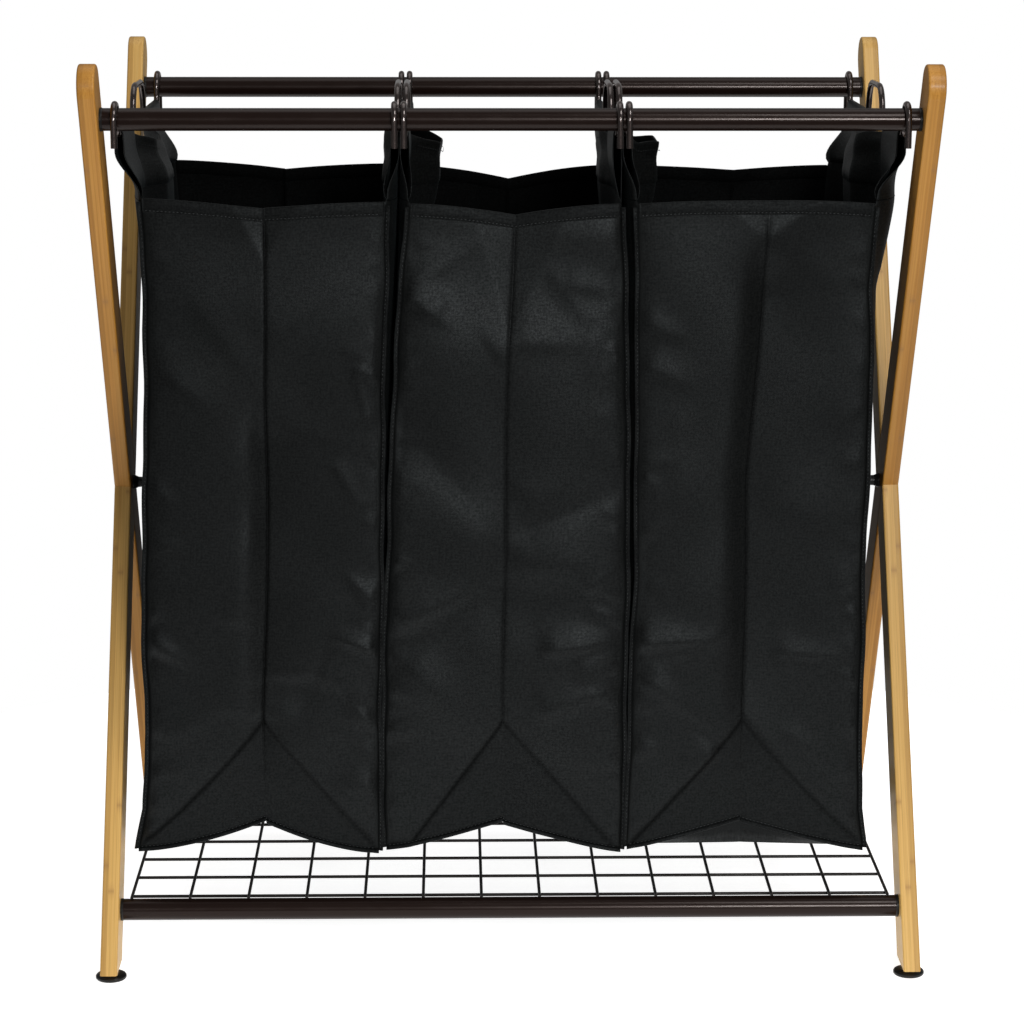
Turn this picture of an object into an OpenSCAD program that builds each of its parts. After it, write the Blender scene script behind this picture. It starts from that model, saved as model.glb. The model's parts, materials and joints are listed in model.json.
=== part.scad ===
// Three-bag laundry sorter: two crossed-leg end frames of laminated bamboo, four steel
// tubes between them, a welded wire shelf on the lower tubes, and three open cloth bags.
// Each bag hangs from two bent wire hangers whose hooks sit on the upper tubes.
// Millimetres. +X to the right, +Y to the back, +Z up. The origin is on the floor, in the
// middle of the sorter.

/* [Frame] */
// Width over the outer faces of the legs
frame_w = 718; // [660:1:780]
// Height to the top of the legs
frame_h = 796; // [790:1:820]
// Distance between the front and back tubes, axis to axis
tube_span = 375; // [365:1:400]
// Height of the upper tubes' axis
upper_tube_z = 749; // [745:1:755]
// Height of the lower tubes' axis
lower_tube_z = 54.5; // [50:0.5:60]

/* [Legs] */
// Thickness of a leg, along the width of the sorter
leg_t = 15; // [14:0.5:18]
// Width of a leg
leg_w = 38; // [34:1:42]
// Radius of the eased long edges
leg_edge_r = 1.8; // [1:0.1:3]
// Height of the cut at the bottom of a leg
leg_cut_z = 9.5; // [9:0.5:12]

/* [Tubes] */
// Outer diameter of a tube
tube_d = 19; // [18:0.5:20]
// Wall of a tube
tube_wall = 1.2; // [1:0.1:1.5]
// Thickness of the flange of a tube's end plug
plug_flange_t = 2.5; // [2:0.5:4]
// Length of an end plug inside its tube
plug_l = 22; // [18:1:30]

/* [Fasteners] */
// Thread diameter of every bolt
bolt_d = 6; // [5:0.5:6.5]
// Diameter of a bolt head
bolt_head_d = 13; // [12:0.5:14]
// Thickness of a flat bolt head
bolt_head_t = 2; // [1.5:0.5:3]
// Height of the dome on the bolts where the legs cross
lap_dome_h = 1.5; // [1:0.1:2.5]
// Length of the cap nuts where the legs cross
lap_nut_l = 13.5; // [12:0.5:15]

/* [Shelf] */
// Diameter of the shelf wire
shelf_wire_d = 2.8; // [2:0.1:3.5]
// Number of wires that run front to back
cross_wires = 14; // [8:1:18]
// Number of wires that run left to right
long_wires = 8; // [4:1:10]
// Distance between neighbouring long wires
long_pitch = 50.4; // [40:0.1:50.4]
// Distance of the first cross wire from a leg's inner face
cross_inset = 9.5; // [5:0.5:20]

/* [Feet] */
// Diameter of a foot pad
pad_d = 27; // [22:1:30]
// Thickness of a foot pad
pad_t = 5; // [4:0.5:6]

/* [Hangers] */
// Diameter of the hanger wire
hanger_d = 5.5; // [4:0.5:5.5]
// Gap between a hook and the tube that it sits on
hook_gap = 0.4; // [0.3:0.1:0.5]
// Height of the end of a hook
hook_tip_z = 726; // [722:1:732]
// Height of a hanger's straight runs inside the sleeves
run_z = 735; // [732:1:736]
// Height of the middle of the wire at the top of the handle
handle_z = 765.2; // [762:0.2:768]
// Half of the width of the handle where it leaves the straight runs
handle_half = 52; // [48:1:56]

/* [Bags] */
// Depth of a bag, front panel to back panel
bag_d = 336; // [320:1:338]
// Width of an outer bag
outer_bag_w = 212; // [200:1:214]
// Width of the middle bag, which hangs pinched between the others
middle_bag_w = 186; // [176:1:187]
// Distance of an outer bag's middle from the middle of the sorter
outer_bag_x = 211; // [209:1:212]
// Height of the base of a bag
bag_base_z = 100; // [90:1:110]
// Height of the top edge of the front and back panels
bag_rim_z = 676; // [660:1:680]
// Thickness that stands for a cloth panel and its seams
cloth_t = 1.6; // [1.2:0.1:2]
// Height of the hem band on the front and back panels
hem_h = 12; // [8:1:16]
// Distance of the outermost hangers from the middle of the sorter
end_hanger_x = 331.4; // [328:0.1:332]
// Distance of the middle bag's hangers from the middle of the sorter
middle_hanger_x = 90.4; // [88:0.1:90.4]
// Distance between neighbouring hangers of two bags
hanger_pair = 7.8; // [7.8:0.1:9]

/* [Hidden] */
$fn = 48;

bamboo = [0.80, 0.64, 0.38];
bronze = [0.16, 0.12, 0.10];
black_wire = [0.08, 0.08, 0.08];
black_plastic = [0.06, 0.06, 0.06];
zinc = [0.62, 0.62, 0.62];
cloth = [0.11, 0.12, 0.12];
cloth_trim = [0.15, 0.16, 0.16];

// Legs: leg A runs from the front foot to the back tube at the top, leg B is its mirror.
half_w = frame_w / 2;
inner_x = half_w - leg_t;
half_span = tube_span / 2;
tilt = atan(tube_span / (upper_tube_z - lower_tube_z));
cross_z = (upper_tube_z + lower_tube_z) / 2;
top_reach = (frame_h - leg_w / 2 - upper_tube_z) / cos(tilt);
half_leg_l = (upper_tube_z - cross_z) / cos(tilt);
foot_y = half_span + (lower_tube_z - leg_cut_z) * tan(tilt);
foot_x = half_w - leg_t / 2;
lap_clearance = 0.05;
hole_clearance = 0.4;
thread_clearance = 0.1;
counterbore_d = bolt_head_d + hole_clearance;
head_recess = 0.2;
counterbore_t = bolt_head_t + head_recess;
socket_af = 4;
lap_thread_l = 10.5;
nut_flange_r = 6.4;
nut_flange_t = 1.6;
nut_cone_l = 5;
nut_barrel_r = 4.8;
nut_taper = 0.4;
nut_cap_t = 2;
nut_round = 1;
insert_d = 9;
insert_l = 14;
stud_up = 22;
stud_hole_l = stud_up + 3;
collar_af = 10;
collar_h = leg_cut_z - pad_t;
pad_socket = 1.5;
pad_edge_z = 2.6;
pad_bevel = [0.8, 1];
pad_crown = [3, 1.8];
pad_top_r = 8;

// Tubes and their ends.
tube_r = tube_d / 2;
tube_bore_r = tube_r - tube_wall;
tube_end_x = inner_x - plug_flange_t;
plug_edge = 0.8;
tube_bolt_l = 30;

// Shelf: the cross wires lie on the lower tubes, and the long wires hang under them.
weld_sink = 0.2;
cross_wire_z = lower_tube_z + tube_r + shelf_wire_d / 2 - weld_sink;
long_wire_z = cross_wire_z - shelf_wire_d + weld_sink;
cross_wire_x = inner_x - cross_inset;
cross_pitch = 2 * cross_wire_x / (cross_wires - 1);

// Hanger: centre line in the YZ plane, from the front tip to the back tip.
wire_r = hanger_d / 2;
hook_r = tube_r + hook_gap + wire_r;
run_bend_r = 6;
foot_bend_r = 7;
crown_bend_r = 24;
handle_slope = 70;
handle_rise = handle_z - run_z;
bend_rise = (foot_bend_r + crown_bend_r) * (1 - cos(handle_slope));
handle_leg_l = (handle_rise - bend_rise) / sin(handle_slope);
handle_leg_run = (foot_bend_r + crown_bend_r) * sin(handle_slope) + handle_leg_l * cos(handle_slope);
crown_l = 2 * (handle_half - handle_leg_run);
run_l = half_span - hook_r - run_bend_r - handle_half;
tip_l = upper_tube_z - hook_tip_z;
drop_l = upper_tube_z - run_z - run_bend_r;
core_r = 0.6 * wire_r;
core_l = 1;
// Each step is a straight length, then a bend as radius and angle; left turns are positive.
hanger_steps = [
    [tip_l, hook_r, -180],
    [drop_l, run_bend_r, 90],
    [run_l, foot_bend_r, handle_slope],
    [handle_leg_l, crown_bend_r, -handle_slope],
    [crown_l, crown_bend_r, -handle_slope],
    [handle_leg_l, foot_bend_r, handle_slope],
    [run_l, run_bend_r, 90],
    [drop_l, hook_r, -180],
    [tip_l, 0, 0]
];

// Sleeves: two lengths of doubled cloth on each side, with a gap for the hand between them.
outer_pair_x = middle_hanger_x + hanger_pair;
sleeve_wall = 0.9;
sleeve_clearance = 0.1;
sleeve_r = wire_r + sleeve_wall;
sleeve_end_y = bag_d / 2 - 3;
hand_gap_side = 8;
hand_gap_depth = 22;
sleeve_inner_y = handle_half + hand_gap_side;
handle_gap_z = run_z - hand_gap_depth;
hem_t = 0.8;
binding_w = 4;
binding_t = 1.2;
outer_bag_walls = [outer_bag_x - outer_bag_w / 2, outer_bag_x + outer_bag_w / 2];

// Rectangle with round corners, centred.
module eased_rect(a, b, r) {
    union() {
        square([a, b - 2 * r], center = true);
        square([a - 2 * r, b], center = true);
        for (i = [-1, 1], j = [-1, 1]) translate([i * (a / 2 - r), j * (b / 2 - r)]) circle(r);
    }
}

// One leg before its joints are cut: a bar with eased edges, a half-round top and a level
// foot, in the YZ plane, centred on x = 0 and leaning back as it rises.
module leg_blank() {
    down = half_leg_l + lower_tube_z / cos(tilt) + leg_w;
    up = half_leg_l + top_reach;
    difference() {
        translate([0, 0, cross_z]) rotate([-tilt, 0, 0]) union() {
            translate([0, 0, -down]) linear_extrude(down + up) eased_rect(leg_t, leg_w, leg_edge_r);
            translate([0, 0, up]) rotate([0, 90, 0]) rotate([0, 0, 90])
                rotate_extrude(angle = 180) intersection() {
                    eased_rect(leg_w, leg_t, leg_edge_r);
                    translate([0, -leg_t]) square([leg_w, 2 * leg_t]);
                }
        }
        translate([-leg_t, -frame_w, leg_cut_z - frame_h]) cube([2 * leg_t, 2 * frame_w, frame_h]);
    }
}

// Half of the thickness where the other leg crosses, for side = 1 or -1 along X.
module lap_notch(side) {
    reach = leg_w / sin(2 * tilt);
    translate([side * leg_t / 2 - lap_clearance * side, 0, cross_z]) rotate([tilt, 0, 0])
        cube([leg_t, leg_w + 2 * lap_clearance, 2.4 * reach], center = true);
}

// A leg with its lap, bolt holes and foot hole. outer is the direction away from the sorter.
module leg(outer, cut_side) {
    difference() {
        leg_blank();
        lap_notch(cut_side);
        translate([0, 0, cross_z]) rotate([0, 90, 0])
            cylinder(d = bolt_d + hole_clearance, h = 2 * leg_t, center = true);
        for (s = [1, -1]) translate([0, s * half_span, s > 0 ? upper_tube_z : lower_tube_z])
            rotate([0, outer * 90, 0]) {
                cylinder(d = bolt_d + hole_clearance, h = 2 * leg_t, center = true);
                translate([0, 0, leg_t / 2 - counterbore_t]) cylinder(d = counterbore_d, h = leg_t);
            }
        translate([0, -foot_y, leg_cut_z - 1]) {
            cylinder(d = insert_d, h = insert_l + 1);
            cylinder(d = bolt_d + hole_clearance, h = stud_hole_l + 1);
        }
    }
}

// Leg A as modelled, leg B mirrored front to back; the sorter's side is -1 left, 1 right.
module leg_a(side) {
    color(bamboo) translate([side * foot_x, 0, 0]) leg(side, -side);
}
module leg_b(side) {
    color(bamboo) translate([side * foot_x, 0, 0]) mirror([0, 1, 0]) leg(side, side);
}

// Places children at every tube end, with +Z pointing out along the tube.
module at_tube_ends() {
    for (side = [-1, 1], fb = [-1, 1], z = [lower_tube_z, upper_tube_z])
        translate([0, fb * half_span, z]) rotate([0, side * 90, 0]) children();
}

module tube(fb, z) {
    color(bronze) translate([0, fb * half_span, z]) rotate([0, 90, 0]) difference() {
        cylinder(r = tube_r, h = 2 * tube_end_x, center = true);
        cylinder(r = tube_bore_r, h = 2 * tube_end_x + 2, center = true);
    }
}

// Plastic plugs: a flange with a broken edge, and a spigot bored for the bolt.
module tube_end_plugs() {
    color(black_plastic) at_tube_ends() translate([0, 0, tube_end_x]) rotate_extrude()
        polygon([
            [bolt_d / 2 + thread_clearance / 2, -plug_l],
            [tube_bore_r - thread_clearance / 2, -plug_l],
            [tube_bore_r - thread_clearance / 2, 0],
            [tube_r, 0],
            [tube_r + plug_edge / 2, plug_edge],
            [tube_r + plug_edge / 2, plug_flange_t],
            [bolt_d / 2 + thread_clearance / 2, plug_flange_t]
        ]);
}

// Flat-headed bolts, flush in the legs, with hexagon sockets.
module tube_bolts() {
    color(bronze) at_tube_ends() translate([0, 0, half_w - head_recess]) difference() {
        union() {
            translate([0, 0, -bolt_head_t]) cylinder(d = bolt_head_d, h = bolt_head_t);
            translate([0, 0, -tube_bolt_l]) cylinder(d = bolt_d, h = tube_bolt_l);
        }
        translate([0, 0, -bolt_head_t]) cylinder(d = socket_af / cos(30), h = leg_t, $fn = 6);
    }
}

// Places children where the legs cross, with +Z pointing out of the sorter.
module at_laps() {
    for (side = [-1, 1]) translate([0, 0, cross_z]) rotate([0, side * 90, 0]) children();
}

module lap_bolts() {
    dome_r = (pow(bolt_head_d / 2, 2) + pow(lap_dome_h, 2)) / (2 * lap_dome_h);
    color(bronze) at_laps() translate([0, 0, half_w]) union() {
        translate([0, 0, -leg_t - lap_thread_l]) cylinder(d = bolt_d, h = leg_t + lap_thread_l);
        intersection() {
            translate([0, 0, lap_dome_h - dome_r]) sphere(dome_r, $fn = 96);
            cylinder(d = bolt_head_d, h = 2 * lap_dome_h);
        }
    }
}

// Cap nuts: a flange against the leg, a cone, and a round barrel with a closed end.
module lap_nuts() {
    bore = (bolt_d + thread_clearance) / 2;
    color(black_plastic) at_laps() translate([0, 0, inner_x]) rotate_extrude()
        polygon([
            [bore, 0], [nut_flange_r, 0], [nut_flange_r, -nut_flange_t], [nut_barrel_r, -nut_cone_l],
            [nut_barrel_r - nut_taper, nut_round - lap_nut_l],
            [nut_barrel_r - nut_taper - nut_round, -lap_nut_l],
            [0, -lap_nut_l], [0, nut_cap_t - lap_nut_l], [bore, nut_cap_t - lap_nut_l]
        ]);
}

module shelf_cross_wires() {
    color(black_wire) for (i = [0 : cross_wires - 1])
        translate([-cross_wire_x + i * cross_pitch, 0, cross_wire_z]) rotate([90, 0, 0])
            cylinder(d = shelf_wire_d, h = tube_span, center = true);
}

module shelf_long_wires() {
    color(black_wire) for (i = [0 : long_wires - 1])
        translate([0, (i - (long_wires - 1) / 2) * long_pitch, long_wire_z]) rotate([0, 90, 0])
            cylinder(d = shelf_wire_d, h = 2 * cross_wire_x, center = true);
}

// Threaded inserts in the level cuts of the legs, bored through for the studs.
module foot_inserts() {
    color(zinc) for (side = [-1, 1], fb = [-1, 1])
        translate([side * foot_x, fb * foot_y, leg_cut_z]) difference() {
            cylinder(d = insert_d, h = insert_l);
            translate([0, 0, -1]) cylinder(d = bolt_d + thread_clearance, h = insert_l + 2);
        }
}

// A foot's pad: a disc with a rounded rim, domed a little towards the stud.
module foot_pad(side, fb) {
    socket_r = (bolt_d + thread_clearance) / 2;
    color(black_plastic) translate([side * foot_x, fb * foot_y, 0]) rotate_extrude()
        polygon([
            [0, 0], [pad_d / 2 - pad_bevel.x, 0], [pad_d / 2, pad_bevel.y], [pad_d / 2, pad_edge_z],
            [pad_d / 2 - pad_bevel.x, pad_edge_z + pad_bevel.y],
            [pad_d / 2 - pad_crown.x, pad_edge_z + pad_crown.y], [pad_top_r, pad_t],
            [socket_r, pad_t], [socket_r, pad_t - pad_socket], [0, pad_t - pad_socket]
        ]);
}

// A foot's steel stud, with a hexagon collar that seats against the leg.
module foot_stud(side, fb) {
    color(zinc) translate([side * foot_x, fb * foot_y, 0]) union() {
        translate([0, 0, pad_t - pad_socket])
            cylinder(d = bolt_d, h = leg_cut_z + stud_up - pad_t + pad_socket);
        translate([0, 0, pad_t]) cylinder(d = collar_af / cos(30), h = collar_h, $fn = 6);
    }
}

// Wire bent in the XY plane: it starts at the origin along +X and follows the steps. A thin
// core runs through each joint of a straight and a bend, so that they fuse into one wire.
module bent_wire(steps, r, i = 0) {
    s = steps[i];
    turn = abs(s[2]);
    way = s[2] < 0 ? -1 : 1;
    rotate([0, 90, 0]) cylinder(r = r, h = s[0]);
    if (i > 0) rotate([0, 90, 0]) cylinder(r = core_r, h = 2 * core_l, center = true);
    if (turn > 0) {
        translate([s[0], 0, 0]) rotate([0, 90, 0]) cylinder(r = core_r, h = 2 * core_l, center = true);
        translate([s[0], way * s[1], 0]) rotate([0, 0, way > 0 ? -90 : 90 - turn])
            rotate_extrude(angle = turn) translate([s[1], 0]) circle(r);
    }
    if (i < len(steps) - 1)
        translate([s[0] + s[1] * sin(turn), way * s[1] * (1 - cos(turn)), 0]) rotate([0, 0, s[2]])
            bent_wire(steps, r, i + 1);
}

module hanger(x) {
    color(bronze) translate([x, 0, 0]) rotate([90, 0, 90])
        translate([-half_span - hook_r, hook_tip_z, 0]) rotate([0, 0, 90])
            bent_wire(hanger_steps, wire_r);
}

// The sewn panels of a bag: front, back, two sides and a base, open at the top. walls are
// the X of its side walls.
module bag_panels(walls) {
    w = walls[1] - walls[0];
    color(cloth) difference() {
        translate([walls[0], -bag_d / 2, bag_base_z]) cube([w, bag_d, bag_rim_z - bag_base_z]);
        translate([walls[0] + cloth_t, -bag_d / 2 + cloth_t, bag_base_z + cloth_t])
            cube([w - 2 * cloth_t, bag_d - 2 * cloth_t, bag_rim_z]);
    }
}

// Folded bands along the top of the front and back panels, on their outer faces.
module bag_hems(walls) {
    inset = binding_w + 1;
    color(cloth_trim) for (fb = [-1, 1])
        translate([walls[0] + inset, fb * (bag_d + hem_t) / 2 - hem_t / 2, bag_rim_z - hem_h])
            cube([walls[1] - walls[0] - 2 * inset, hem_t, hem_h]);
}

// Tape over the upright seams at the four corners, on the front and back faces.
module bag_binding(walls) {
    color(cloth_trim) for (fb = [-1, 1], x = [walls[0], walls[1] - binding_w])
        translate([x, fb * (bag_d + binding_t) / 2 - binding_t / 2, bag_base_z])
            cube([binding_w, binding_t, bag_rim_z - bag_base_z]);
}

// Section of a sleeve in the XZ plane: from the side wall's top edge up and over the wire.
module sleeve_section(wall_x, hanger_x) {
    lean = atan2(hanger_x - wall_x, run_z - bag_rim_z);
    dx = sleeve_r * cos(lean);
    dz = sleeve_r * sin(lean);
    half = cloth_t / 2;
    difference() {
        union() {
            translate([hanger_x, run_z]) circle(sleeve_r);
            polygon([
                [wall_x - half, bag_rim_z], [wall_x + half, bag_rim_z],
                [hanger_x + dx, run_z - dz], [hanger_x - dx, run_z + dz]
            ]);
        }
        translate([hanger_x, run_z]) circle(wire_r + sleeve_clearance);
    }
}

// The strip of side panel under the hand gap, level with the sleeves' lower part.
module sleeve_strip(wall_x, hanger_x) {
    t = (handle_gap_z - bag_rim_z) / (run_z - bag_rim_z);
    top_x = wall_x + (hanger_x - wall_x) * t;
    half = cloth_t / 2;
    polygon([
        [wall_x - half, bag_rim_z], [wall_x + half, bag_rim_z],
        [top_x + half, handle_gap_z], [top_x - half, handle_gap_z]
    ]);
}

// Both sides' sleeves of a bag, with the wire's channel through them.
module bag_sleeves(walls, hangers) {
    inset = cloth_t / 2;
    sides = [[walls[0] + inset, hangers[0]], [walls[1] - inset, hangers[1]]];
    color(cloth_trim) for (s = sides) union() {
        for (fb = [-1, 1]) {
            y0 = fb > 0 ? sleeve_end_y : -sleeve_inner_y;
            translate([0, y0, 0]) rotate([90, 0, 0]) linear_extrude(sleeve_end_y - sleeve_inner_y)
                sleeve_section(s[0], s[1]);
        }
        translate([0, sleeve_inner_y, 0]) rotate([90, 0, 0]) linear_extrude(2 * sleeve_inner_y)
            sleeve_strip(s[0], s[1]);
    }
}

right_walls = outer_bag_walls;
left_walls = [-outer_bag_walls[1], -outer_bag_walls[0]];
middle_walls = [-middle_bag_w / 2, middle_bag_w / 2];
right_hangers = [outer_pair_x, end_hanger_x];
left_hangers = [-end_hanger_x, -outer_pair_x];
middle_hangers = [-middle_hanger_x, middle_hanger_x];

leg_a(-1);  // leg_a_left
leg_b(-1);  // leg_b_left
leg_a(1);  // leg_a_right
leg_b(1);  // leg_b_right
tube(-1, upper_tube_z);  // tube_top_front
tube(1, upper_tube_z);  // tube_top_back
tube(-1, lower_tube_z);  // tube_bottom_front
tube(1, lower_tube_z);  // tube_bottom_back
tube_end_plugs();
tube_bolts();
lap_bolts();
lap_nuts();
shelf_cross_wires();
shelf_long_wires();
foot_inserts();
foot_pad(-1, -1);  // foot_pad_front_left
foot_stud(-1, -1);  // foot_stud_front_left
foot_pad(1, -1);  // foot_pad_front_right
foot_stud(1, -1);  // foot_stud_front_right
foot_pad(-1, 1);  // foot_pad_back_left
foot_stud(-1, 1);  // foot_stud_back_left
foot_pad(1, 1);  // foot_pad_back_right
foot_stud(1, 1);  // foot_stud_back_right
bag_panels(left_walls);  // bag_left_panels
bag_hems(left_walls);  // bag_left_hems
bag_binding(left_walls);  // bag_left_binding
bag_sleeves(left_walls, left_hangers);  // bag_left_sleeves
hanger(left_hangers[0]);  // bag_left_hanger_outer
hanger(left_hangers[1]);  // bag_left_hanger_inner
bag_panels(middle_walls);  // bag_middle_panels
bag_hems(middle_walls);  // bag_middle_hems
bag_binding(middle_walls);  // bag_middle_binding
bag_sleeves(middle_walls, middle_hangers);  // bag_middle_sleeves
hanger(middle_hangers[0]);  // bag_middle_hanger_left
hanger(middle_hangers[1]);  // bag_middle_hanger_right
bag_panels(right_walls);  // bag_right_panels
bag_hems(right_walls);  // bag_right_hems
bag_binding(right_walls);  // bag_right_binding
bag_sleeves(right_walls, right_hangers);  // bag_right_sleeves
hanger(right_hangers[0]);  // bag_right_hanger_inner
hanger(right_hangers[1]);  // bag_right_hanger_outer
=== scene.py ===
"""Looks of a three-bag laundry sorter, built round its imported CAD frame.

The legs, tubes, shelf, feet, fasteners and hangers are the CAD's own solids with
procedural materials. Each bag's plain CAD solids are replaced by a lofted cloth shell
with doubled sleeves over the hanger wires, folded hems, seam flanges and stitches.
Lengths are millimetres until a mesh is made. -Y is the front.
"""
import json
import math
from math import pi

import bpy
import numpy as np
from mathutils import Matrix, Vector


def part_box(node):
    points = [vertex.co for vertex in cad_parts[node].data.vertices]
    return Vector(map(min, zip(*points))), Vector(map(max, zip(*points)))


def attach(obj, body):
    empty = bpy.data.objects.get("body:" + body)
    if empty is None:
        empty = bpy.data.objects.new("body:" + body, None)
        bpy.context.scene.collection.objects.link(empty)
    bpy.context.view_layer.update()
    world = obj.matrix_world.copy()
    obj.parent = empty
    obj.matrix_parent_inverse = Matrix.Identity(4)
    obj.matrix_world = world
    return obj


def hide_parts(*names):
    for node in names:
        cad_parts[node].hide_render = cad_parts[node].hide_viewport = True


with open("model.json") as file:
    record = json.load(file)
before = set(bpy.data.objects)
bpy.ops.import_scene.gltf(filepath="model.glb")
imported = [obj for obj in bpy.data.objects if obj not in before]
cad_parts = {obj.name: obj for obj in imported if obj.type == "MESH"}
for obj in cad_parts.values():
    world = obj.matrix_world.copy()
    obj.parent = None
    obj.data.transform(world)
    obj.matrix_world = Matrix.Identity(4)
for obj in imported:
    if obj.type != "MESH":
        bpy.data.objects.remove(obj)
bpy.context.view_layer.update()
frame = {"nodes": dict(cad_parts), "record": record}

MM = 0.001

# Camera, as fitted to the frame: place in mm, angles in radians, lens for a 36 mm sensor.
CAMERA_AT = (-51.2, -2706.6, 957.6)
CAMERA_YAW = -0.0206
CAMERA_DOWN = 0.2129
CAMERA_ROLL = 0.0018
CAMERA_LENS = 105.3

# Light: each lamp's name, place and size in metres, and power in watts.
LIGHTS = [
    ("left", (-1.15, -3.35, 1.10), (0.50, 0.50), 7.0),
    ("main", (0.72, -3.45, 1.25), (0.50, 0.50), 48.0),
    ("key", (0.95, -1.70, 2.65), (1.10, 0.90), 24.0),
    ("top", (0.0, 0.40, 2.80), (2.00, 1.60), 10.0),
]
LIGHT_TARGET = (0.0, 0.0, 0.4)
ROOM_LIGHT = 0.20        # the white room's strength, except where the camera sees it
FLOOR_RADIUS = 850.0
FLOOR_GLOW = (0.86, 1.05)        # strength of the floor's glow,
FLOOR_GLOW_AT = (0.35, 0.82)     # this far from its middle, in metres

# Cloth.
CLOTH_T = 0.7
HANGER_DROP = 14.0       # from the tube's axis down to the hanger's long run
SLEEVE_R = 3.75          # over the hanger wire
CASING_Z = 678.0         # seam that joins a sleeve's two layers
GAP_END_Z = 729.0        # top of the hand gap's cloth where it meets a sleeve
GAP_HALF = 60.0          # half of the hand gap's width
HEM_H = 12.0
CORNER_INSET = 2.0       # from the CAD's front and back walls to the corners
FLANGE_W = 3.8
FLANGE_HALF_T = 0.85
STITCH_PITCH = 3.4
STITCH_L = 2.3
STITCH_R = 0.32
SIDE_AT = 300.0          # a side's middle, across the flat cloth
WALL_STEP = 700.0        # from the front to the back, and from one side to the other

# Each bag's own hang. Pairs are (left, right) unless a note says (front, back).
# hangers: which of the CAD's hangers it hangs on.
# edges: how far the upright seams stand from the CAD walls at EDGE_Z. crease: X at CREASE_Z.
# lift: the rim's ends. cusp, broad: the rim's sharp and broad dips (front, back).
# hump, hump_power: the arch of the bottom edge over base_z, the heights of its corners.
# base_arch, arch_run: what is left of the hump inside the base, and the run down to it.
# fold_end: where the pressed folds end, as a share of the half width.
# bulge: how far an outer side stands out. meets: X of the foot of a side that has none.
# lean: how far the cloth in the hand gap flops into the bag. upright, slant, gap_z: how
# much of it stands up again, how slanted its top is, and the top's height.
# dimple: the notch's depth, height, and reach to the left and right. valley: the sunk
# crease's depth, top, bottom and steepness. tuck_in: how far the rim's middle is drawn in,
# over what height. belly, face: how proud the halves stand, as an arch and as a slope.
EDGE_Z = (676, 601, 540, 456, 354, 302, 215, 140, 106)
CREASE_Z = (676, 560, 440, 222)
APEX_Z = 222           # where the crease ends and the two pressed folds begin
BAGS = {
    "left": dict(
        hangers=("outer", "inner"),
        edges=((3, 6.5, 5.5, 3.5, -0.5, -1.5, -0.5, -4, -13),
               (-1.5, -3.5, -6, -7.5, -8.5, -9.5, -11.5, -11.6, -10.8)),
        crease=(-209.5, -211, -210.5, -217), lift=(5, 1.5), cusp=(7, 6),
        broad=(0, 1), hump=26, hump_power=1.7, base_z=(104, 101), base_arch=22,
        arch_run=0.25, fold_end=(1, 0.97), bulge=(10, None),
        meets=(None, -115.1), lean=(19, 15), upright=(0, 0.2), slant=(1, 0),
        gap_z=(719, 725), dimple=(5.8, 48, 27, 32), valley=(11, 505, 226, 11),
        tuck_in=(-3.5, 80), belly=(3, 3), face=(4, 0), seed=11),
    "middle": dict(
        hangers=("left", "right"),
        edges=((6.5, 0, -4.5, -8.5, -12.5, -15.5, -17.6, -18.2, -17.6),
               (0.5, 3.5, 5.5, 6.6, 7.6, 6.8, 6, 6, 6)),
        crease=(4, -1.5, -4.5, -6.5), lift=(0, 0), cusp=(10.5, 11),
        broad=(0, 1), hump=24, hump_power=1.2, base_z=(104, 101), base_arch=20,
        arch_run=0.25, fold_end=(0.80, 0.94), bulge=(None, None),
        meets=(-113.9, 101.4), lean=(33, 12), upright=(0, 0.2), slant=(1, 0),
        gap_z=(716, 725), dimple=(7.5, 112, 38, 46), valley=(1.5, 520, 240, 14),
        tuck_in=(6.5, 125), belly=(4, 4), face=(0, 0), seed=23),
    "right": dict(
        hangers=("inner", "outer"),
        edges=((2, 4.5, 5.3, 5.3, 6.3, 3.5, 1.6, -0.2, -0.8),
               (-6.5, -11.5, -7.5, -8.5, -10.5, -9.5, -9.5, -8.5, -2.5)),
        crease=(221, 214, 206, 205), lift=(0, 0), cusp=(2, 4),
        broad=(-4.5, 1), hump=25, hump_power=1.15, base_z=(104, 102), base_arch=0,
        arch_run=0.08, fold_end=(0.97, 1), bulge=(None, 24),
        meets=(102.6, None), lean=(37, 27), upright=(0, 0.25), slant=(0, 1),
        gap_z=(715, 725), dimple=(5.8, 29, 38, 38), valley=(12, 640, 240, 12),
        tuck_in=(-5, 80), belly=(3, 0.5), face=(0, 0), seed=37),
}

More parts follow.
